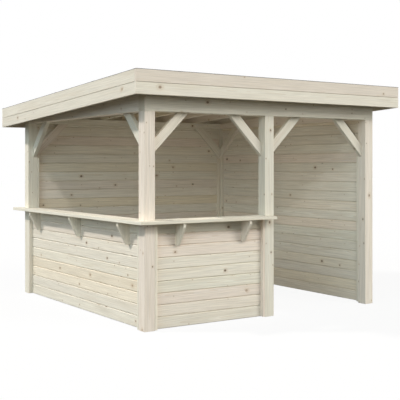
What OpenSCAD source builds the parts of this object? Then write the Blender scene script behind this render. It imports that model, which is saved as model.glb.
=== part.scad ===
// Garden pavilion with a bar: an open timber frame with two full walls, two half-height bar panels
// under an L-shaped counter, and a flat roof that falls to the rear.
// Millimetres, +Z up. The front faces -Y, the bar's long side faces -X.
// The origin is on the ground, under the middle of the roof.

/* [Frame] */
// Width over the outer faces of the posts
frame_width = 3000; // [2600:10:3600]
// Depth over the outer faces of the posts
frame_depth = 3000; // [2400:10:3600]
// Side of the square posts, and width of the beams
post_size = 115; // [90:1:140]
// Height of the undersides of the beams over the ground
head_height = 2098; // [1950:1:2300]
// Height of the rear beam at its outer face
beam_rear_height = 64; // [50:1:120]

/* [Braces] */
// Long leg of a brace, along the post and the beam
brace_leg = 421; // [340:1:480]
// Width of a brace board, square to its length
brace_width = 92; // [70:1:125]
// Distance of the open braces from the inner faces of the posts
brace_setback = 12; // [0:1:30]

/* [Walls] */
// Thickness of the wall boards
wall_thickness = 28; // [19:1:35]
// Height that one wall board covers
board_cover = 114; // [90:1:140]
// Depth of the bevel along the edges of a board
board_bevel = 6; // [2:0.5:8]
// Gap between the ground and the full walls
wall_ground_gap = 14; // [2:1:30]
// Gap between the ground and the bar panels
panel_ground_gap = 4; // [2:1:30]
// Height of the bar panels, to the underside of the counter
bar_height = 1023; // [900:1:1150]
// Width of the battens that hold the boards at the posts
batten_width = 28; // [20:1:45]

/* [Counter] */
// Thickness of the counter boards
counter_thickness = 32; // [22:1:45]
// How far the counter stands out past the posts on the left side
counter_out_left = 110; // [90:1:160]
// How far the counter stands out past the posts on the front
counter_out_front = 130; // [90:1:160]
// How far the left counter runs on past the rear post
counter_tail = 120; // [20:1:200]
// Thickness of a counter bracket
bracket_thickness = 28; // [20:1:40]
// Height of a counter bracket
bracket_height = 225; // [160:1:300]
// Distance from a bracket's tip to the counter's edge
bracket_setback = 18; // [5:1:40]
// Length of the blunt ends of a bracket
bracket_blunt = 40; // [10:1:60]
// Distance from a post to the middle of the bracket next to it
bracket_end = 268; // [150:1:350]

/* [Roof] */
// Fall of the roof to the rear, in degrees
roof_fall = 2.96; // [1.5:0.01:4]
// Overhang past the posts at the front
overhang_front = 200; // [170:1:300]
// Overhang past the posts at the rear
overhang_rear = 240; // [170:1:300]
// Overhang past the posts at each side
overhang_side = 205; // [170:1:300]
// Thickness of the fascia boards
fascia_thickness = 28; // [18:1:35]
// Height of one fascia board
fascia_board_height = 115; // [95:1:130]
// Thickness of a rafter
rafter_thickness = 45; // [35:1:60]
// Height of a rafter
rafter_height = 120; // [95:1:140]
// Number of rafters between the side beams
inner_rafters = 5; // [3:1:7]
// Thickness of the roof deck
deck_thickness = 18; // [15:1:25]
// Thickness of the roofing felt
felt_thickness = 3; // [2:1:8]
// How far the felt stands out past the fascia
felt_lap = 2; // [0:1:8]

/* [Hidden] */

// Outer faces of the posts
x_left = -frame_width / 2;
x_right = frame_width / 2;
y_front = -(frame_depth + overhang_rear - overhang_front) / 2;
y_rear = y_front + frame_depth;

// Inner faces of the posts
x_left_in = x_left + post_size;
x_right_in = x_right - post_size;
y_front_in = y_front + post_size;
y_rear_in = y_rear - post_size;

// Side faces of the middle post
x_mid_low = -post_size / 2;
x_mid_high = post_size / 2;

// The boards are centred in the posts; braces and battens fill what is left on each side
recess = (post_size - wall_thickness) / 2;
x_left_board = x_left + recess;
x_right_board = x_right - recess - wall_thickness;
y_front_board = y_front + recess;
y_rear_board = y_rear - recess - wall_thickness;
brace_short_leg = brace_leg - brace_width * sqrt(2);
brace_foot = head_height - brace_leg;

// Outer faces of the open braces
x_left_brace = x_left_in - brace_setback - recess;
y_front_brace = y_front_in - brace_setback - recess;

// Outer faces of the fascia and the planes of the roof
roof_x_low = x_left - overhang_side;
roof_x_high = x_right + overhang_side;
roof_y_low = y_front - overhang_front;
roof_y_high = y_rear + overhang_rear;
fall = tan(roof_fall);
rafter_rise = beam_rear_height;
deck_rise = rafter_rise + rafter_height;
fascia_rise = deck_rise + deck_thickness;

// Height of a roof plane at depth y, from its height over the beams' undersides at the rear face
function plane(y, rise) = head_height + rise + (y_rear - y) * fall;

// Colours of the sub-parts
timber = [0.87, 0.83, 0.75];
board_tone = [0.84, 0.80, 0.71];
trim_tone = [0.89, 0.86, 0.78];
dark_felt = [0.20, 0.20, 0.20];

// Heights of the joints between the boards of a wall, apart from one too close to its top
function board_joints(bottom, top) = [
    for (z = [bottom + board_cover : board_cover : top - board_cover / 4]) z
];

// A straight box between two corners
module box(low, high) {
    translate(low)
        cube(high - low);
}

// A prism along X with upright ends, between two planes of the roof
module roof_prism(x, y, rise_low, rise_high) {
    translate([x[0], 0, 0])
        rotate([90, 0, 90])
            linear_extrude(x[1] - x[0])
                polygon([
                    [y[0], plane(y[0], rise_low)],
                    [y[1], plane(y[1], rise_low)],
                    [y[1], plane(y[1], rise_high)],
                    [y[0], plane(y[0], rise_high)]
                ]);
}

// A beam with a level underside and a top cut to the fall
module beam(x, y) {
    translate([x[0], 0, 0])
        rotate([90, 0, 90])
            linear_extrude(x[1] - x[0])
                polygon([
                    [y[0], head_height],
                    [y[1], head_height],
                    [y[1], plane(y[1], rafter_rise)],
                    [y[0], plane(y[0], rafter_rise)]
                ]);
}

module post(x, y) {
    color(timber)
        box([x, y, 0], [x + post_size, y + post_size, head_height]);
}

// A brace in its own plane: the post stands along +Z at 0, the beam lies on top
module brace_shape() {
    polygon([
        [0, -brace_leg],
        [0, -brace_short_leg],
        [brace_short_leg, 0],
        [brace_leg, 0]
    ]);
}

// A brace along X from a post face; side is 1 to the right and -1 to the left
module brace_x(x, y, side) {
    color(trim_tone)
        translate([x, y + recess, head_height])
            rotate([90, 0, 0])
                linear_extrude(recess)
                    scale([side, 1])
                        brace_shape();
}

// A brace along Y from a post face; side is 1 to the rear and -1 to the front
module brace_y(x, y, side) {
    color(trim_tone)
        translate([x, y, head_height])
            rotate([90, 0, 90])
                linear_extrude(recess)
                    scale([side, 1])
                        brace_shape();
}

// Upright section of a boarded wall, with a bevelled joint between the boards on both faces
module board_section(bottom, top) {
    joints = board_joints(bottom, top);
    last = len(joints) - 1;
    outer_face = [
        for (z = joints)
            for (step = [-1, 0, 1])
                [(step == 0) ? board_bevel : 0, z + step * board_bevel]
    ];
    inner_face = [
        for (i = [last : -1 : 0])
            for (step = [1, 0, -1])
                [wall_thickness - ((step == 0) ? board_bevel : 0), joints[i] + step * board_bevel]
    ];
    polygon(concat(
        [[0, bottom]],
        outer_face,
        [[0, top], [wall_thickness, top]],
        inner_face,
        [[wall_thickness, bottom]]
    ));
}

// A boarded wall along X, from its face at the lower y
module wall_x(x, y, bottom, top) {
    color(board_tone)
        translate([x[0], y, 0])
            rotate([90, 0, 90])
                linear_extrude(x[1] - x[0])
                    board_section(bottom, top);
}

// A boarded wall along Y, from its face at the lower x
module wall_y(x, y, bottom, top) {
    color(board_tone)
        translate([x, y[1], 0])
            rotate([90, 0, 0])
                linear_extrude(y[1] - y[0])
                    board_section(bottom, top);
}

// Four battens of a panel that runs along X, outside and inside at both ends
module battens_x(x, y, bottom, out_side, top_out, top_in) {
    y_faces = [y, y + recess + wall_thickness];
    for (end = [x[0], x[1] - batten_width]) {
        for (i = [0, 1]) {
            top = (i == out_side) ? top_out : top_in;
            box([end, y_faces[i], bottom], [end + batten_width, y_faces[i] + recess, top]);
        }
    }
}

// Four battens of a panel that runs along Y, outside and inside at both ends
module battens_y(x, y, bottom, out_side, top_out, top_in) {
    x_faces = [x, x + recess + wall_thickness];
    for (end = [y[0], y[1] - batten_width]) {
        for (i = [0, 1]) {
            top = (i == out_side) ? top_out : top_in;
            box([x_faces[i], end, bottom], [x_faces[i] + recess, end + batten_width, top]);
        }
    }
}

// A flat counter board of constant thickness
module counter_board(outline) {
    color(trim_tone)
        translate([0, 0, bar_height])
            linear_extrude(counter_thickness)
                polygon(outline);
}

// A bracket in its own plane: the panel stands at 0, the counter lies on top
module bracket_shape(reach) {
    polygon([
        [0, 0],
        [0, -bracket_height],
        [bracket_blunt, -bracket_height],
        [reach, -bracket_blunt],
        [reach, 0]
    ]);
}

module post_front_left() post(x_left, y_front);
module post_front_middle() post(x_mid_low, y_front);
module post_front_right() post(x_right_in, y_front);
module post_rear_left() post(x_left, y_rear_in);
module post_rear_right() post(x_right_in, y_rear_in);

module beam_front() {
    color(timber)
        beam([x_left, x_right], [y_front, y_front_in]);
}

module beam_rear() {
    color(timber)
        beam([x_left, x_right], [y_rear_in, y_rear]);
}

module beam_left() {
    color(timber)
        beam([x_left, x_left_in], [y_front_in, y_rear_in]);
}

module beam_right() {
    color(timber)
        beam([x_right_in, x_right], [y_front_in, y_rear_in]);
}

module brace_front_1() brace_x(x_left_in, y_front_brace, 1);
module brace_front_2() brace_x(x_mid_low, y_front_brace, -1);
module brace_front_3() brace_x(x_mid_high, y_front_brace, 1);
module brace_front_4() brace_x(x_right_in, y_front_brace, -1);
module brace_left_1() brace_y(x_left_brace, y_front_in, 1);
module brace_left_2() brace_y(x_left_brace, y_rear_in, -1);
module brace_rear_1() brace_x(x_left_in, y_rear_in, 1);
module brace_rear_2() brace_x(x_right_in, y_rear_in, -1);
module brace_right_1() brace_y(x_right_in, y_front_in, 1);
module brace_right_2() brace_y(x_right_in, y_rear_in, -1);

module rear_wall() wall_x([x_left_in, x_right_in], y_rear_board, wall_ground_gap, head_height);
module right_wall() wall_y(x_right_board, [y_front_in, y_rear_in], wall_ground_gap, head_height);
module left_bar_panel() wall_y(x_left_board, [y_front_in, y_rear_in], panel_ground_gap, bar_height);
module front_bar_panel() wall_x([x_left_in, x_mid_low], y_front_board, panel_ground_gap, bar_height);

// Inside the full walls the battens stop at the feet of the braces
module rear_wall_battens() {
    color(trim_tone)
        battens_x([x_left_in, x_right_in], y_rear_in, wall_ground_gap, 1, head_height, brace_foot);
}

module right_wall_battens() {
    color(trim_tone)
        battens_y(x_right_in, [y_front_in, y_rear_in], wall_ground_gap, 1, head_height, brace_foot);
}

module left_panel_battens() {
    color(trim_tone)
        battens_y(x_left, [y_front_in, y_rear_in], panel_ground_gap, 0, bar_height, bar_height);
}

module front_panel_battens() {
    color(trim_tone)
        battens_x([x_left_in, x_mid_low], y_front, panel_ground_gap, 0, bar_height, bar_height);
}

// The outer counter boards pass the posts and meet in a mitre at the corner
module counter_left_outer() {
    counter_board([
        [x_left - counter_out_left, y_front - counter_out_front],
        [x_left, y_front],
        [x_left, y_rear + counter_tail],
        [x_left - counter_out_left, y_rear + counter_tail]
    ]);
}

module counter_front_outer() {
    counter_board([
        [x_left - counter_out_left, y_front - counter_out_front],
        [0, y_front - counter_out_front],
        [0, y_front],
        [x_left, y_front]
    ]);
}

// The inner counter boards lie between the posts
module counter_left_inner() {
    counter_board([
        [x_left, y_front_in],
        [x_left_in, y_front_in],
        [x_left_in, y_rear_in],
        [x_left, y_rear_in]
    ]);
}

module counter_front_inner() {
    counter_board([
        [x_left_in, y_front],
        [x_mid_low, y_front],
        [x_mid_low, y_front_in],
        [x_left_in, y_front_in]
    ]);
}

module left_brackets() {
    first = y_front_in + bracket_end;
    last = y_rear_in - bracket_end;
    reach = recess + counter_out_left - bracket_setback;
    color(trim_tone)
        for (y = [first, (first + last) / 2, last]) {
            translate([x_left_board, y, bar_height])
                rotate([90, 0, 0])
                    linear_extrude(bracket_thickness, center = true)
                        scale([-1, 1])
                            bracket_shape(reach);
        }
}

module front_brackets() {
    reach = recess + counter_out_front - bracket_setback;
    color(trim_tone)
        for (x = [x_left_in + bracket_end, x_mid_low - bracket_end]) {
            translate([x, y_front_board, bar_height])
                rotate([90, 0, 90])
                    linear_extrude(bracket_thickness, center = true)
                        scale([-1, 1])
                            bracket_shape(reach);
        }
}

// Rafters between the side beams, one on each side beam and one behind each side fascia
module rafters() {
    inner_step = (frame_width - post_size) / (inner_rafters + 1);
    beam_line = frame_width / 2 - post_size / 2;
    edge_line = roof_x_high - fascia_thickness - rafter_thickness / 2;
    inner = [for (i = [1 : inner_rafters]) -beam_line + i * inner_step];
    lines = concat([-edge_line, -beam_line], inner, [beam_line, edge_line]);
    color(timber)
        for (x = lines) {
            roof_prism(
                [x - rafter_thickness / 2, x + rafter_thickness / 2],
                [roof_y_low + fascia_thickness, roof_y_high - fascia_thickness],
                rafter_rise,
                deck_rise
            );
        }
}

module roof_deck() {
    color(board_tone)
        roof_prism(
            [roof_x_low + fascia_thickness, roof_x_high - fascia_thickness],
            [roof_y_low + fascia_thickness, roof_y_high - fascia_thickness],
            deck_rise,
            fascia_rise
        );
}

module roof_felt() {
    color(dark_felt)
        roof_prism(
            [roof_x_low - felt_lap, roof_x_high + felt_lap],
            [roof_y_low - felt_lap, roof_y_high + felt_lap],
            fascia_rise,
            fascia_rise + felt_thickness
        );
}

// One fascia board; row 0 is the upper one
module fascia(x, y, row) {
    top = fascia_rise - row * fascia_board_height;
    color(trim_tone)
        roof_prism(x, y, top - fascia_board_height, top);
}

// The front and rear boards cover the ends of the side boards
module fascia_front(row) {
    fascia([roof_x_low, roof_x_high], [roof_y_low, roof_y_low + fascia_thickness], row);
}

module fascia_rear(row) {
    fascia([roof_x_low, roof_x_high], [roof_y_high - fascia_thickness, roof_y_high], row);
}

module fascia_left(row) {
    fascia(
        [roof_x_low, roof_x_low + fascia_thickness],
        [roof_y_low + fascia_thickness, roof_y_high - fascia_thickness],
        row
    );
}

module fascia_right(row) {
    fascia(
        [roof_x_high - fascia_thickness, roof_x_high],
        [roof_y_low + fascia_thickness, roof_y_high - fascia_thickness],
        row
    );
}

module fascia_front_upper() fascia_front(0);
module fascia_front_lower() fascia_front(1);
module fascia_rear_upper() fascia_rear(0);
module fascia_rear_lower() fascia_rear(1);
module fascia_left_upper() fascia_left(0);
module fascia_left_lower() fascia_left(1);
module fascia_right_upper() fascia_right(0);
module fascia_right_lower() fascia_right(1);

post_front_left();
post_front_middle();
post_front_right();
post_rear_left();
post_rear_right();
beam_front();
beam_rear();
beam_left();
beam_right();
brace_front_1();
brace_front_2();
brace_front_3();
brace_front_4();
brace_left_1();
brace_left_2();
brace_rear_1();
brace_rear_2();
brace_right_1();
brace_right_2();
rear_wall();
right_wall();
left_bar_panel();
front_bar_panel();
rear_wall_battens();
right_wall_battens();
left_panel_battens();
front_panel_battens();
counter_left_outer();
counter_left_inner();
counter_front_outer();
counter_front_inner();
left_brackets();
front_brackets();
rafters();
roof_deck();
roof_felt();
fascia_front_upper();
fascia_front_lower();
fascia_rear_upper();
fascia_rear_lower();
fascia_left_upper();
fascia_left_lower();
fascia_right_upper();
fascia_right_lower();
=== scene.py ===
"""The looks of a timber garden pavilion with a bar counter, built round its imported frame.

Each CAD node is shown as the timber it is made of: walls as tongue-and-groove boards, posts and beams as
planed timbers with eased edges, the roof as deck boards under lapped felt. Metres, the same frame as the CAD.
"""

import math
import random
from dataclasses import dataclass

import bmesh
import bpy
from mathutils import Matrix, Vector


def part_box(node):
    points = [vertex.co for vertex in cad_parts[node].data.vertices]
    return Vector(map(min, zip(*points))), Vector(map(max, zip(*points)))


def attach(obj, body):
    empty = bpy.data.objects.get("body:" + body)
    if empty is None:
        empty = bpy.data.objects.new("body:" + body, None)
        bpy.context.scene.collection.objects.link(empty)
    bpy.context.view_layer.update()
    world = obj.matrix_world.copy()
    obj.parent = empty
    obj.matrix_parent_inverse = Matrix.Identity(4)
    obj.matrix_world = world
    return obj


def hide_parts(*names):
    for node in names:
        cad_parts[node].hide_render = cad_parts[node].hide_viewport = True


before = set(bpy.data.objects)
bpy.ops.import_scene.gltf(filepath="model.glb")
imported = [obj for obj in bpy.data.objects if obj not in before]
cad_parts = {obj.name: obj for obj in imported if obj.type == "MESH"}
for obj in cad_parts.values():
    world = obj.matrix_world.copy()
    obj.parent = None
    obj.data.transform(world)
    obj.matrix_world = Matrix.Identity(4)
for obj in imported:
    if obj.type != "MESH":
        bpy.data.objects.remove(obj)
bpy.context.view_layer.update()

# Sizes of the timber, as in the construction
FALL = math.tan(math.radians(2.96))
BRACES = {"front": 4, "rear": 2, "left": 2, "right": 2}
BRACE_WIDTH = 0.092
LEFT_BRACKETS = 3
FRONT_BRACKETS = 2
BRACKET_THICKNESS = 0.028
BRACKET_BLUNT = 0.040
BATTEN_WIDTH = 0.028
BOARD_COVER = 0.114
BOARD_ROUNDING = 0.75  # a rest of a quarter board or more gets a board of its own
BOARD_BEVEL = 0.006
RAFTER_THICKNESS = 0.045
INNER_RAFTERS = 5

# Details that only the finish has
BOARD_GAP = 0.0034
BATTEN_GAP = 0.0022
TONGUE_HEIGHT = 0.007
TONGUE_THICKNESS = 0.007
TONGUE_PLAY = 0.0008
EASED_EDGE = 0.003
EASED_SEGMENTS = 2
EASED_PROFILE = 0.6
FASCIA_EDGE = 0.0012
FASCIA_SHADOW_GAP = 0.004
FASCIA_REBATE = 0.012
TRIM_EDGE = 0.002
COUNTER_EDGE = 0.004
DECK_BOARD = 0.096
DECK_BEVEL = 0.003
FELT_STRIP = 0.92
FELT_LAP = 0.07
FELT_PLY = 0.0016
FELT_RAMP = 0.02
FELT_BORDER = 0.06
FELT_STEP = 0.001

# How a timber lies in its log, and which of its faces are cut ends
STEEP_GRAIN = 0.7
LOG_REACH = 40
HEART_OFFSET = 0.02
SAWN_OFFSET = 0.06
SAWN_SHIFT = 0.03
PLANK_REACH = 60
END_FACE = 0.6

# Knots, on the face of a plank; an edge is given as where it starts and where it is full
KNOT_CELL = (0.24, 0.095, 1.0)
KNOT_STRETCH = (0.75, 1.0, 0.0)
KNOT_RAG_SCALE = 160.0
KNOT_RAG = 0.003
KNOT_SPREAD = 3.0
KNOT_LEAST = 0.0040
KNOT_CORE_EDGE = (1.25, 0.65)
KNOT_HALO_EDGE = (3.2, 0.9)
KNOT_HALO_DEPTH = 0.30
KNOT_FRESH = 0.95
KNOT_FADE = -0.45

# Growth rings, streaks, fibres and clouds, in the log; a noise is given as its detail and roughness
RING_WIDTH = 0.0046
RING_SWAY = 0.030
RING_SWELL = 0.005
SWAY_SCALE = (0.9, 4.0, 4.0)
LATEWOOD_POWER = 2.6
LATEWOOD_DEPTH = 0.20
FIBRE_SCALE = (5.0, 520.0, 520.0)
FIBRE_NOISE = (3.0, 0.6)
FIBRE_EDGE = (0.35, 0.8)
FIBRE_DEPTH = 0.08
STREAK_SCALE = (2.6, 135.0, 135.0)
STREAK_NOISE = (4.0, 0.65)
STREAK_EDGE = (0.30, 0.70)
STREAK_DEPTH = 0.20
CLOUD_SCALE = (1.2, 16.0, 16.0)
CLOUD_EDGE = (0.46, 0.75)
CLOUD_DEPTH = 0.22

# The planed surface
LATEWOOD_RELIEF = -0.5
FIBRE_RELIEF = 0.6
KNOT_RELIEF = 0.8
RELIEF_STRENGTH = 0.35
RELIEF_DISTANCE = 0.0006
ROUGHNESS_LEAST = 0.56
ROUGHNESS_RANGE = 0.16
WOOD_SPECULAR = 0.3

# Colours of planed spruce, by board and by what marks it
PALE = (0.815, 0.765, 0.665, 1)
HONEY = (0.85, 0.75, 0.59, 1)
ROSY = (0.835, 0.738, 0.65, 1)
MOSSY = (0.79, 0.757, 0.655, 1)
BOARD_TONES = ((0.62, 0.98, HONEY), (0.50, 1.0, ROSY), (0.55, 1.0, MOSSY))
SHADE_SPREAD = 9.7
SHADE_LEAST = 0.955
SHADE_RANGE = 0.09
STAIN = (0.66, 0.56, 0.42, 1)
LATEWOOD = (0.57, 0.41, 0.24, 1)
FIBRE = (0.44, 0.35, 0.24, 1)
KNOT_HALO = (0.52, 0.36, 0.20, 1)
DARK_KNOT = (0.10, 0.06, 0.035, 1)
RED_KNOT = (0.30, 0.17, 0.085, 1)
END_GRAIN = (0.46, 0.34, 0.20, 1)

# Roofing felt
BITUMEN = (0.07, 0.073, 0.077, 1)
SLATE = (0.20, 0.205, 0.21, 1)
WORN_FELT = (0.24, 0.24, 0.235, 1)
GRANULE_SCALE = 420.0
GRANULE_EDGE = (0.2, 0.95)
GRANULE_STRENGTH = 0.6
GRANULE_DISTANCE = 0.001
WEAR_SCALE = 2.3
WEAR_NOISE = (4.0, 0.6)
WEAR_EDGE = (0.45, 0.75)
WEAR_DEPTH = 0.2
FELT_ROUGHNESS = 0.92
FELT_SPECULAR = 0.25

# Camera, fitted to the photograph's 400 x 400 frame
FRAME_PIXELS = 400
FOCAL_PIXELS = 831.8
PRINCIPAL_PIXEL = (201.7, 165.2)
SENSOR_WIDTH = 36.0
CAMERA_AT = (-5.407, -8.370, 1.581)
CAMERA_YAW = math.radians(33.63)
CAMERA_REACH = 500

# Suns: where the light travels, the strength (1 lights a facing white surface to white), the width in
# degrees and the colour
SUNS = {
    "key": ((1.0, -0.65, -1.1), 0.765, 4, (1.0, 0.95, 0.905)),
    "front": ((-0.46, 1.0, -0.7), 0.38, 28, (1.0, 0.98, 0.935)),
    "side": ((0.55, 1.0, -0.75), 0.165, 3, (1.0, 1.0, 1.0)),
    "fill": ((1.0, 0.5, -0.42), 0.355, 40, (0.77, 0.93, 1.0)),
    "low": ((-0.8, 0.65, -0.15), 0.26, 20, (1.0, 0.985, 0.91)),
}
INSIDE_AT = (0.25, -0.5, 1.4)
INSIDE_RADIUS = 0.4
INSIDE_WATTS = 10.5
INSIDE_COLOUR = (1.0, 1.0, 0.92)
SKY_COLOUR = (0.235, 0.238, 0.22, 1.0)
WHITE = (1, 1, 1, 1)
FLOOR_SHOWN = (0.85, 0.85, 0.85, 1.0)
FLOOR_BOUNCE = (0.06, 0.058, 0.045, 1.0)
FLOOR_SIZE = 120.0
FLOOR_VEIL = 0.9


@dataclass
class Timber:
    """One piece of timber: a flat outline pushed along a vector, with the direction of its grain."""

    outline: list
    along: Vector
    grain: Vector
    eased: float = 0.0
    heart: bool = False


def set_grain(part, grain, heart, rng):
    """Gives a timber its place in the log, the lie of its knots and its own tone."""
    u_axis = grain.normalized()
    side = Vector((0, 0, 1)) if abs(u_axis.z) < STEEP_GRAIN else Vector((0, 1, 0))
    w_axis = u_axis.cross(side).normalized()
    v_axis = w_axis.cross(u_axis)
    middle = sum((v.co for v in part.verts), Vector()) / len(part.verts)
    reach = HEART_OFFSET if heart else SAWN_OFFSET
    pith = Vector((rng.uniform(0, LOG_REACH), rng.uniform(-reach, reach), rng.uniform(-reach, reach)))
    if not heart:
        pith.z += math.copysign(SAWN_SHIFT, pith.z)
    tone = Vector((rng.random(), rng.random(), rng.random()))
    grain_layer = part.verts.layers.float_vector.new("grain")
    tone_layer = part.verts.layers.float_vector.new("tone")
    plank_layer = part.loops.layers.float_vector.new("plank")
    end_layer = part.faces.layers.float.new("end_grain")
    for vert in part.verts:
        d = vert.co - middle
        vert[grain_layer] = Vector((d.dot(u_axis), d.dot(v_axis), d.dot(w_axis))) + pith
        vert[tone_layer] = tone
    sides = {key: rng.uniform(0, PLANK_REACH) for key in ("v+", "v-", "w+", "w-")}
    for face in part.faces:
        n = face.normal
        face[end_layer] = 1.0 if abs(n.dot(u_axis)) > END_FACE else 0.0
        faces_w = abs(n.dot(w_axis)) >= abs(n.dot(v_axis))
        across = v_axis if faces_w else w_axis
        sign = "+" if n.dot(w_axis if faces_w else v_axis) > 0 else "-"
        shift = sides[("w" if faces_w else "v") + sign]
        for loop in face.loops:
            d = loop.vert.co - middle
            loop[plank_layer] = Vector((d.dot(u_axis) + shift, d.dot(across), 0))


def add_timber(bm, timber, rng):
    """Adds one closed timber to a mesh that is being made."""
    part = bmesh.new()
    rings = []
    for shift in (Vector(), timber.along):
        rings.append([part.verts.new(Vector(p) + shift) for p in timber.outline])
    for ring in rings:
        part.faces.new(ring)
    count = len(timber.outline)
    for i in range(count):
        j = (i + 1) % count
        part.faces.new((rings[0][i], rings[0][j], rings[1][j], rings[1][i]))
    bmesh.ops.recalc_face_normals(part, faces=part.faces)
    if timber.eased:
        bmesh.ops.bevel(
            part,
            geom=list(part.edges),
            offset=timber.eased,
            segments=EASED_SEGMENTS,
            profile=EASED_PROFILE,
            affect="EDGES",
        )
    part.normal_update()
    set_grain(part, timber.grain, timber.heart, rng)
    mesh = bpy.data.meshes.new("part")
    part.to_mesh(mesh)
    part.free()
    bm.from_mesh(mesh)
    bpy.data.meshes.remove(mesh)


def make_piece(node, timbers, material):
    """Makes one visible piece from its timbers, in place of the CAD node of that name."""
    rng = random.Random(node)
    bm = bmesh.new()
    for timber in timbers:
        add_timber(bm, timber, rng)
    mesh = bpy.data.meshes.new(node + "_finish")
    bm.to_mesh(mesh)
    bm.free()
    mesh.materials.append(material)
    piece = bpy.data.objects.new(node + "_finish", mesh)
    bpy.context.scene.collection.objects.link(piece)
    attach(piece, "root")
    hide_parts(node)


class Shader:
    """Adds nodes to a new material of a given name, or to a world, and joins them up."""

    def __init__(self, owner):
        if isinstance(owner, str):
            owner = bpy.data.materials.new(owner)
            owner.use_nodes = True
        self.material = owner
        self.tree = owner.node_tree
        self.tree.nodes.clear()

    def add(self, kind, inputs=None, **settings):
        """A node with its settings, and its inputs by name or number as values or as sockets."""
        node = self.tree.nodes.new("ShaderNode" + kind)
        for key, value in settings.items():
            setattr(node, key, value)
        for key, value in (inputs or {}).items():
            if isinstance(value, bpy.types.NodeSocket):
                self.tree.links.new(value, node.inputs[key])
            else:
                node.inputs[key].default_value = value
        return node

    def maths(self, operation, a, b=0.0):
        return self.add("Math", {0: a, 1: b}, operation=operation).outputs[0]

    def linear(self, value, factor, base):
        """A value times a factor, plus a base."""
        return self.maths("ADD", self.maths("MULTIPLY", value, factor), base)

    def vector(self, operation, a, b=(0, 0, 0)):
        node = self.add("VectorMath", {0: a, 1: b}, operation=operation)
        return node.outputs["Value" if operation == "LENGTH" else "Vector"]

    def scaled(self, a, factor):
        return self.add("VectorMath", {0: a, "Scale": factor}, operation="SCALE").outputs["Vector"]

    def step(self, value, edge):
        """A smooth step from 0 at the edge's first value to 1 at its second."""
        low, high = edge
        inputs = {"Value": value, "From Min": low, "From Max": high, "To Min": 0.0, "To Max": 1.0}
        return self.add("MapRange", inputs, interpolation_type="SMOOTHSTEP").outputs["Result"]

    def noise(self, where, detail=2.0, roughness=0.5):
        inputs = {"Vector": where, "Scale": 1.0, "Detail": detail, "Roughness": roughness}
        return self.add("TexNoise", inputs).outputs["Fac"]

    def mix(self, factor, a, b):
        """A colour between a and b; the numbers are the colour sockets of Blender's Mix node."""
        inputs = {0: factor, 6: a, 7: b}
        return self.add("Mix", inputs, data_type="RGBA", clamp_factor=True).outputs[2]

    def stained(self, colour, amount, depth, stain):
        """A colour that takes on a stain where the amount is 1, as far as the depth."""
        return self.mix(self.maths("MULTIPLY", amount, depth), colour, stain)

    def attribute(self, name):
        return self.add("Attribute", attribute_name=name, attribute_type="GEOMETRY")

    def finish(self, inputs):
        bsdf = self.add("BsdfPrincipled", inputs)
        self.add("OutputMaterial", {"Surface": bsdf.outputs["BSDF"]})
        return self.material


def knots(s, plank, density, size):
    """Knots over the face of a plank: the knots themselves, the stained wood round them, and their age."""
    cells = s.vector("DIVIDE", plank, KNOT_CELL)
    inputs = {"Vector": cells, "Scale": 1.0, "Randomness": 1.0}
    voronoi = s.add("TexVoronoi", inputs, voronoi_dimensions="2D")
    centre = s.vector("MULTIPLY", voronoi.outputs["Position"], KNOT_CELL)
    offset = s.vector("SUBTRACT", plank, centre)
    draw = s.add("SeparateXYZ", {0: voronoi.outputs["Color"]})
    distance = s.vector("LENGTH", s.vector("MULTIPLY", offset, KNOT_STRETCH))
    distance = s.linear(s.noise(s.scaled(plank, KNOT_RAG_SCALE), detail=1.0), KNOT_RAG, distance)
    spread = s.maths("POWER", draw.outputs[1], KNOT_SPREAD)
    near = s.maths("DIVIDE", distance, s.linear(spread, size, KNOT_LEAST))
    present = s.maths("LESS_THAN", draw.outputs[0], density)
    core = s.maths("MULTIPLY", s.step(near, KNOT_CORE_EDGE), present)
    halo = s.maths("MULTIPLY", s.step(near, KNOT_HALO_EDGE), present)
    return core, halo, draw.outputs[2]


def latewood(s, grain, halo):
    """The dark side of each growth ring; the rings sway along the log and swell round knots."""
    sway = s.noise(s.vector("MULTIPLY", grain, SWAY_SCALE))
    radial = s.vector("LENGTH", s.vector("MULTIPLY", grain, (0, 1, 1)))
    radial = s.linear(sway, RING_SWAY, radial)
    radial = s.linear(halo, RING_SWELL, radial)
    rings = s.maths("FRACT", s.maths("DIVIDE", radial, RING_WIDTH))
    return s.maths("POWER", rings, LATEWOOD_POWER)


def board_tone(s):
    """The colour of a board before its grain: pale, honey, rosy or mossy, a little lighter or darker."""
    tone = s.add("SeparateXYZ", {0: s.attribute("tone").outputs["Vector"]})
    colour = PALE
    for i, (low, high, other) in enumerate(BOARD_TONES):
        colour = s.mix(s.step(tone.outputs[i], (low, high)), colour, other)
    shade = s.maths("FRACT", s.maths("MULTIPLY", tone.outputs[0], SHADE_SPREAD))
    return s.scaled(colour, s.linear(shade, SHADE_RANGE, SHADE_LEAST))


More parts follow.
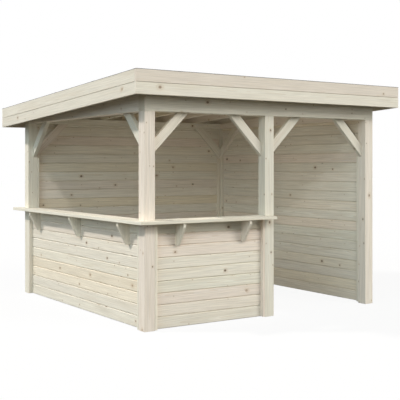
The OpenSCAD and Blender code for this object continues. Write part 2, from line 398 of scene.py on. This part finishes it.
def spruce(name, tint=(1.0, 1.0, 1.0), density=0.25, knot_size=0.012, figure=1.0, ends=0.30):
    """Planed spruce: growth rings, streaks, fibres, knots, and a tone of its own for each board."""
    s = Shader(name)
    grain = s.attribute("grain").outputs["Vector"]
    plank = s.attribute("plank").outputs["Vector"]
    end = s.attribute("end_grain").outputs["Fac"]
    core, halo, age = knots(s, plank, density, knot_size)
    late = latewood(s, grain, halo)
    fibres = s.noise(s.vector("MULTIPLY", grain, FIBRE_SCALE), *FIBRE_NOISE)
    streaks = s.noise(s.vector("MULTIPLY", grain, STREAK_SCALE), *STREAK_NOISE)
    clouds = s.noise(s.vector("MULTIPLY", grain, CLOUD_SCALE))

    colour = s.vector("MULTIPLY", board_tone(s), tint)
    streak_depth = STREAK_DEPTH * figure
    colour = s.scaled(colour, s.linear(s.step(streaks, STREAK_EDGE), streak_depth, 1 - streak_depth / 2))
    colour = s.stained(colour, s.step(clouds, CLOUD_EDGE), CLOUD_DEPTH, STAIN)
    colour = s.stained(colour, late, LATEWOOD_DEPTH * figure, LATEWOOD)
    colour = s.stained(colour, s.step(fibres, FIBRE_EDGE), FIBRE_DEPTH, FIBRE)
    colour = s.stained(colour, halo, KNOT_HALO_DEPTH, KNOT_HALO)
    knot_depth = s.linear(age, KNOT_FADE, KNOT_FRESH)
    colour = s.stained(colour, core, knot_depth, s.mix(age, DARK_KNOT, RED_KNOT))
    colour = s.stained(colour, end, ends, END_GRAIN)

    relief = s.maths("MULTIPLY", late, LATEWOOD_RELIEF)
    relief = s.linear(fibres, FIBRE_RELIEF, relief)
    relief = s.linear(core, KNOT_RELIEF, relief)
    bump = s.add("Bump", {"Height": relief, "Strength": RELIEF_STRENGTH, "Distance": RELIEF_DISTANCE})
    inputs = {
        "Base Color": colour,
        "Roughness": s.linear(fibres, ROUGHNESS_RANGE, ROUGHNESS_LEAST),
        "Normal": bump.outputs["Normal"],
        "Specular IOR Level": WOOD_SPECULAR,
    }
    return s.finish(inputs)


def roofing_felt():
    """Mineral felt: dark bitumen with slate granules, worn a little lighter in drifts."""
    s = Shader("roofing_felt")
    where = s.add("TexCoord").outputs["Object"]
    cells = s.add("TexVoronoi", {"Vector": where, "Scale": GRANULE_SCALE})
    wear = s.noise(s.scaled(where, WEAR_SCALE), *WEAR_NOISE)
    granules = s.add("SeparateXYZ", {0: cells.outputs["Color"]}).outputs[0]
    colour = s.mix(s.step(granules, GRANULE_EDGE), BITUMEN, SLATE)
    colour = s.stained(colour, s.step(wear, WEAR_EDGE), WEAR_DEPTH, WORN_FELT)
    relief = {
        "Height": cells.outputs["Distance"],
        "Strength": GRANULE_STRENGTH,
        "Distance": GRANULE_DISTANCE,
    }
    inputs = {
        "Base Color": colour,
        "Roughness": FELT_ROUGHNESS,
        "Normal": s.add("Bump", relief).outputs["Normal"],
        "Specular IOR Level": FELT_SPECULAR,
    }
    return s.finish(inputs)


def corners(node):
    """A node's lowest and highest corners as vectors."""
    low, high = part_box(node)
    return Vector(low), Vector(high)


def axes(along_x):
    """The numbers of the axis along a piece and of the level axis across it."""
    return (0, 1) if along_x else (1, 0)


def point(along_x, along, across, z):
    """A vector from measures along a piece, across it and upwards."""
    return Vector((along, across, z) if along_x else (across, along, z))


def box_outline(low, high):
    """The level outline of a box, at its foot."""
    return [(low.x, low.y, low.z), (high.x, low.y, low.z), (high.x, high.y, low.z), (low.x, high.y, low.z)]


def upright(low, high, **settings):
    """A timber that stands upright."""
    return Timber(box_outline(low, high), Vector((0, 0, high.z - low.z)), Vector((0, 0, 1)), **settings)


def layer_thickness(low, high):
    """The thickness of a roof layer that follows the fall."""
    return high.z - low.z - FALL * (high.y - low.y)


def on_fall(x, low, high, profile):
    """An outline across a roof layer at one x, from places along y and heights above its underside."""
    foot = high.z - layer_thickness(low, high)
    return [(x, y, foot - FALL * (y - low.y) + rise) for y, rise in profile]


def post(node):
    """A square post."""
    low, high = corners(node)
    return [upright(low, high, eased=EASED_EDGE, heart=True)]


def beam(node):
    """A beam with a level underside and a top cut to the fall; its grain runs along its longer side."""
    low, high = corners(node)
    size = high - low
    heights = ((low.y, low.z), (high.y, low.z), (high.y, high.z - FALL * size.y), (low.y, high.z))
    outline = [(low.x, y, z) for y, z in heights]
    grain = point(size.x > size.y, 1, 0, 0)
    return [Timber(outline, Vector((size.x, 0, 0)), grain, eased=EASED_EDGE, heart=True)]


def brace(node, along_x, side):
    """A knee brace: side is 1 where it leaves its post towards the higher coordinate, and -1 otherwise."""
    low, high = corners(node)
    a, c = axes(along_x)
    leg = high.z - low.z
    short = leg - BRACE_WIDTH * math.sqrt(2)
    profile = [(0, -leg), (0, -short), (short, 0), (leg, 0)]
    start = low[a] if side > 0 else high[a]
    outline = [point(along_x, start + side * u, low[c], high.z + v) for u, v in profile]
    through = point(along_x, 0, high[c] - low[c], 0)
    return [Timber(outline, through, point(along_x, side, 0, 1), eased=EASED_EDGE)]


def board_section(thickness, bottom, top, first, last):
    """The section of a tongue-and-groove board as (depth, height), with bevelled long edges."""
    b = BOARD_BEVEL
    t = thickness
    low = bottom if first else bottom + BOARD_GAP / 2
    high = top if last else top - BOARD_GAP / 2
    tongue = (t - TONGUE_THICKNESS) / 2
    groove = tongue - TONGUE_PLAY
    deep = low + TONGUE_HEIGHT + BOARD_GAP + TONGUE_PLAY
    points = [(0, low + b), (b, low)]
    if not first:
        points += [(groove, low), (groove, deep), (t - groove, deep), (t - groove, low)]
    points += [(t - b, low), (t, low + b), (t, high - b), (t - b, high)]
    if not last:
        rise = high + TONGUE_HEIGHT
        points += [(t - tongue, high), (t - tongue, rise), (tongue, rise), (tongue, high)]
    points += [(b, high), (0, high - b)]
    return points


def boards(node):
    """The boards of a wall, from the ground up; the top one is cut to what is left."""
    low, high = corners(node)
    size = high - low
    along_x = size.x > size.y
    a, c = axes(along_x)
    last = max(1, math.floor(size.z / BOARD_COVER + BOARD_ROUNDING)) - 1
    timbers = []
    for i in range(last + 1):
        bottom = low.z + i * BOARD_COVER
        top = high.z if i == last else bottom + BOARD_COVER
        section = board_section(size[c], bottom, top, i == 0, i == last)
        outline = [point(along_x, low[a], low[c] + depth, z) for depth, z in section]
        timbers.append(Timber(outline, point(along_x, size[a], 0, 0), point(along_x, 1, 0, 0)))
    return timbers


def battens(node, wall, top_inside):
    """Four battens of a wall, a hair off the posts.

    Those on its lower side, which is the inside of the rear and right walls, end at top_inside, if given.
    """
    low, high = corners(node)
    wall_low, wall_high = corners(wall)
    size = high - low
    a, c = axes(size.x > size.y)
    timbers = []
    for at_end in (False, True):
        for upper_side in (False, True):
            foot, head = low.copy(), high.copy()
            if at_end:
                foot[a], head[a] = high[a] - BATTEN_WIDTH, high[a] - BATTEN_GAP
            else:
                foot[a], head[a] = low[a] + BATTEN_GAP, low[a] + BATTEN_WIDTH
            if upper_side:
                foot[c] = wall_high[c]
            else:
                head[c] = wall_low[c]
            if top_inside is not None and not upper_side:
                head.z = top_inside
            timbers.append(upright(foot, head, eased=TRIM_EDGE))
    return timbers


def counter(node, corner=None):
    """A counter board; corner is the mitre's inner corner, where it meets the other board."""
    low, high = corners(node)
    size = high - low
    along_x = size.x > size.y
    outline = box_outline(low, high)
    if corner is not None:
        mitred = 3 if along_x else 1
        outline[mitred] = (corner.x, corner.y, low.z)
    return [Timber(outline, Vector((0, 0, size.z)), point(along_x, 1, 0, 0), eased=COUNTER_EDGE)]


def brackets(node, count, along_x):
    """Counter brackets in a row, each a board cut to a blunt triangle."""
    low, high = corners(node)
    a, c = axes(along_x)
    drop = high.z - low.z
    reach = high[c] - low[c]
    blunt = BRACKET_BLUNT
    profile = [(0, 0), (0, -drop), (blunt, -drop), (reach, -blunt), (reach, 0)]
    step = (high[a] - low[a] - BRACKET_THICKNESS) / (count - 1)
    through = point(along_x, BRACKET_THICKNESS, 0, 0)
    timbers = []
    for i in range(count):
        outline = [point(along_x, low[a] + i * step, high[c] - u, high.z + v) for u, v in profile]
        timbers.append(Timber(outline, through, Vector((0, 0, 1)), eased=TRIM_EDGE))
    return timbers


def rafters():
    """Rafters behind the side fascias, on the side beams, and evenly between them."""
    low, high = corners("rafters")
    beam_low, beam_high = corners("beam_left")
    half = RAFTER_THICKNESS / 2
    first = (beam_low.x + beam_high.x) / 2
    step = -2 * first / (INNER_RAFTERS + 1)
    lines = [low.x + half]
    lines += [first + i * step for i in range(INNER_RAFTERS + 2)]
    lines += [high.x - half]
    thickness = layer_thickness(low, high)
    profile = [(low.y, 0), (high.y, 0), (high.y, thickness), (low.y, thickness)]
    through = Vector((RAFTER_THICKNESS, 0, 0))
    timbers = []
    for x in lines:
        outline = on_fall(x - half, low, high, profile)
        timbers.append(Timber(outline, through, Vector((0, 1, 0)), eased=EASED_EDGE))
    return timbers


def deck():
    """Deck boards across the rafters, with bevelled joints on the underside."""
    low, high = corners("roof_deck")
    thickness = layer_thickness(low, high)
    count = round((high.y - low.y) / DECK_BOARD)
    step = (high.y - low.y) / count
    b = DECK_BEVEL
    timbers = []
    for i in range(count):
        y0 = low.y + i * step
        y1 = y0 + step
        profile = [(y0, b), (y0 + b, 0), (y1 - b, 0), (y1, b), (y1, thickness), (y0, thickness)]
        outline = on_fall(low.x, low, high, profile)
        timbers.append(Timber(outline, Vector((high.x - low.x, 0, 0)), Vector((1, 0, 0))))
    return timbers


def felt():
    """Felt in strips across the roof, each lapped over the next one down the fall."""
    low, high = corners("roof_felt")
    thickness = layer_thickness(low, high)
    border = low.y + FELT_BORDER
    top = [(low.y, thickness), (border, thickness), (border + FELT_STEP, FELT_PLY)]
    y = low.y + FELT_STRIP
    while y < high.y - FELT_STRIP / 2:
        top += [(y - FELT_LAP - FELT_RAMP, FELT_PLY), (y - FELT_LAP, thickness)]
        top += [(y, thickness), (y + FELT_STEP, FELT_PLY)]
        y += FELT_STRIP
    border = high.y - FELT_BORDER
    top += [(border - FELT_STEP, FELT_PLY), (border, thickness), (high.y, thickness)]
    outline = on_fall(low.x, low, high, [(low.y, 0.0), (high.y, 0.0)] + top[::-1])
    return [Timber(outline, Vector((high.x - low.x, 0, 0)), Vector((1, 0, 0)))]


def fascia_section(thickness, height, rebated):
    """A fascia board's section as (depth, height); a rebate leaves a shadow line under the board above."""
    points = [(0, 0), (thickness, 0), (thickness, height)]
    if not rebated:
        return points + [(0, height)]
    lip = height - FASCIA_SHADOW_GAP
    return points + [(FASCIA_REBATE, height), (FASCIA_REBATE, lip), (0, lip)]


def fascia(node, outer_low, rebated):
    """One fascia board, which follows the fall; outer_low is true where its outer face is the lower one."""
    low, high = corners(node)
    size = high - low
    along_x = size.x > size.y
    a, c = axes(along_x)
    drop = FALL * size.y
    face, inwards = (low[c], 1) if outer_low else (high[c], -1)
    outline = []
    for depth, rise in fascia_section(size[c], size.z - drop, rebated):
        across = face + inwards * depth
        y = across if along_x else low.y
        outline.append(point(along_x, low[a], across, low.z + drop - FALL * (y - low.y) + rise))
    if along_x:
        return [Timber(outline, Vector((size.x, 0, 0)), Vector((1, 0, 0)), eased=FASCIA_EDGE)]
    down = Vector((0, size.y, -drop))
    return [Timber(outline, down, down, eased=FASCIA_EDGE)]


def build_frame(timber, brace_timber):
    """Posts, beams and knee braces; the braces of a side lean towards each other in pairs."""
    for place in ("front_left", "front_middle", "front_right", "rear_left", "rear_right"):
        make_piece("post_" + place, post("post_" + place), timber)
    for place in ("front", "rear", "left", "right"):
        make_piece("beam_" + place, beam("beam_" + place), timber)
    for place, count in BRACES.items():
        for i in range(count):
            node = f"brace_{place}_{i + 1}"
            timbers = brace(node, place in ("front", "rear"), -1 if i % 2 else 1)
            make_piece(node, timbers, brace_timber)


def build_walls(board_timber, trim_timber):
    """Walls and bar panels with their battens; inside the walls these end at the foot of the braces."""
    for node in ("rear_wall", "right_wall", "left_bar_panel", "front_bar_panel"):
        make_piece(node, boards(node), board_timber)
    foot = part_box("brace_rear_1")[0][2]
    rows = (
        ("rear_wall_battens", "rear_wall", foot),
        ("right_wall_battens", "right_wall", foot),
        ("left_panel_battens", "left_bar_panel", None),
        ("front_panel_battens", "front_bar_panel", None),
    )
    for node, wall, top_inside in rows:
        make_piece(node, battens(node, wall, top_inside), trim_timber)


def build_counter(counter_timber, trim_timber):
    """The counter's boards, the outer two mitred at the corner post, and the brackets under them."""
    corner = Vector(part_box("post_front_left")[0])
    for node in ("counter_left_outer", "counter_front_outer"):
        make_piece(node, counter(node, corner), counter_timber)
    for node in ("counter_left_inner", "counter_front_inner"):
        make_piece(node, counter(node), counter_timber)
    left = brackets("left_brackets", LEFT_BRACKETS, along_x=False)
    make_piece("left_brackets", left, trim_timber)
    front = brackets("front_brackets", FRONT_BRACKETS, along_x=True)
    make_piece("front_brackets", front, trim_timber)


def build_roof(timber, deck_timber, fascia_timber, felt_material):
    """Rafters, deck and felt, and the two rows of fascia boards round them."""
    make_piece("rafters", rafters(), timber)
    make_piece("roof_deck", deck(), deck_timber)
    make_piece("roof_felt", felt(), felt_material)
    for side in ("front", "rear", "left", "right"):
        outer_low = side in ("front", "left")
        for row in ("upper", "lower"):
            node = f"fascia_{side}_{row}"
            board = fascia(node, outer_low, rebated=row == "lower")
            make_piece(node, board, fascia_timber)


def add_suns():
    """The studio's distant lamps."""
    for name, (travel, strength, width, colour) in SUNS.items():
        lamp = bpy.data.lights.new(name, "SUN")
        lamp.energy = strength * math.pi
        lamp.angle = math.radians(width)
        lamp.color = colour
        sun = bpy.data.objects.new(name, lamp)
        sun.rotation_euler = Vector(travel).to_track_quat("-Z", "Y").to_euler()
        bpy.context.scene.collection.objects.link(sun)


def add_inside_light():
    """A soft lamp under the roof, for the light that pale walls throw to and fro."""
    lamp = bpy.data.lights.new("inside", "POINT")
    lamp.energy = INSIDE_WATTS
    lamp.color = INSIDE_COLOUR
    lamp.shadow_soft_size = INSIDE_RADIUS
    inside = bpy.data.objects.new("inside", lamp)
    inside.location = INSIDE_AT
    inside.visible_camera = False
    bpy.context.scene.collection.objects.link(inside)


def seen_directly(s):
    """1 for rays that show the background itself: from the camera, in gloss or through glass."""
    path = s.add("LightPath")
    seen = s.maths("MAXIMUM", path.outputs["Is Camera Ray"], path.outputs["Is Glossy Ray"])
    return s.maths("MAXIMUM", seen, path.outputs["Is Transmission Ray"])


def add_floor():
    """A floor that shows white with a faint shadow, and throws back as little light as the photograph's."""
    s = Shader("floor")
    white = s.add("Emission", {"Color": WHITE, "Strength": 1.0}).outputs[0]
    shown = s.add("BsdfDiffuse", {"Color": FLOOR_SHOWN}).outputs[0]
    shown = s.add("MixShader", {0: FLOOR_VEIL, 1: shown, 2: white}).outputs[0]
    bounce = s.add("BsdfDiffuse", {"Color": FLOOR_BOUNCE}).outputs[0]
    both = s.add("MixShader", {0: seen_directly(s), 1: bounce, 2: shown}).outputs[0]
    s.add("OutputMaterial", {"Surface": both})
    mesh = bpy.data.meshes.new("floor")
    half = FLOOR_SIZE / 2
    outline = box_outline(Vector((-half, -half, 0)), Vector((half, half, 0)))
    mesh.from_pydata(outline, [], [(0, 1, 2, 3)])
    mesh.materials.append(s.material)
    floor = bpy.data.objects.new("floor", mesh)
    bpy.context.scene.collection.objects.link(floor)


def add_world():
    """An even studio sky that is white where it is seen directly."""
    world = bpy.data.worlds.new("studio")
    world.use_nodes = True
    s = Shader(world)
    sky = s.add("Background", {"Color": SKY_COLOUR, "Strength": 1.0}).outputs[0]
    white = s.add("Background", {"Color": WHITE, "Strength": 1.0}).outputs[0]
    both = s.add("MixShader", {0: seen_directly(s), 1: sky, 2: white}).outputs[0]
    s.add("OutputWorld", {"Surface": both})
    bpy.context.scene.world = world


def add_camera():
    """A level camera, shifted so that its axis falls on the photograph's principal point."""
    data = bpy.data.cameras.new("camera")
    data.sensor_width = SENSOR_WIDTH
    data.lens = FOCAL_PIXELS * SENSOR_WIDTH / FRAME_PIXELS
    data.shift_x = (FRAME_PIXELS / 2 - PRINCIPAL_PIXEL[0]) / FRAME_PIXELS
    data.shift_y = (PRINCIPAL_PIXEL[1] - FRAME_PIXELS / 2) / FRAME_PIXELS
    data.clip_end = CAMERA_REACH
    camera = bpy.data.objects.new("camera", data)
    camera.location = CAMERA_AT
    camera.rotation_euler = (math.radians(90), 0, -CAMERA_YAW)
    bpy.context.scene.collection.objects.link(camera)
    bpy.context.scene.camera = camera


frame_timber = spruce("frame_timber", (1.02, 1.03, 1.03), density=0.60, knot_size=0.010)
brace_timber = spruce("brace_timber", density=0.16, knot_size=0.008)
wall_timber = spruce("wall_timber", (1.01, 1.01, 1.01), density=0.38, knot_size=0.011, figure=1.3)
trim_timber = spruce("trim_timber", (1.02, 1.01, 1.0), density=0.10, knot_size=0.005)
counter_timber = spruce("counter_timber", (1.03, 1.03, 1.03), density=0.14, knot_size=0.006)
fascia_timber = spruce("fascia_timber", density=0.12, ends=0.04)
deck_timber = spruce("deck_timber", (0.98, 0.97, 0.95), density=0.26)
build_frame(frame_timber, brace_timber)
build_walls(wall_timber, trim_timber)
build_counter(counter_timber, trim_timber)
build_roof(frame_timber, deck_timber, fascia_timber, roofing_felt())

add_floor()
add_world()
add_suns()
add_inside_light()
add_camera()
bpy.context.scene.view_settings.view_transform = "Standard"
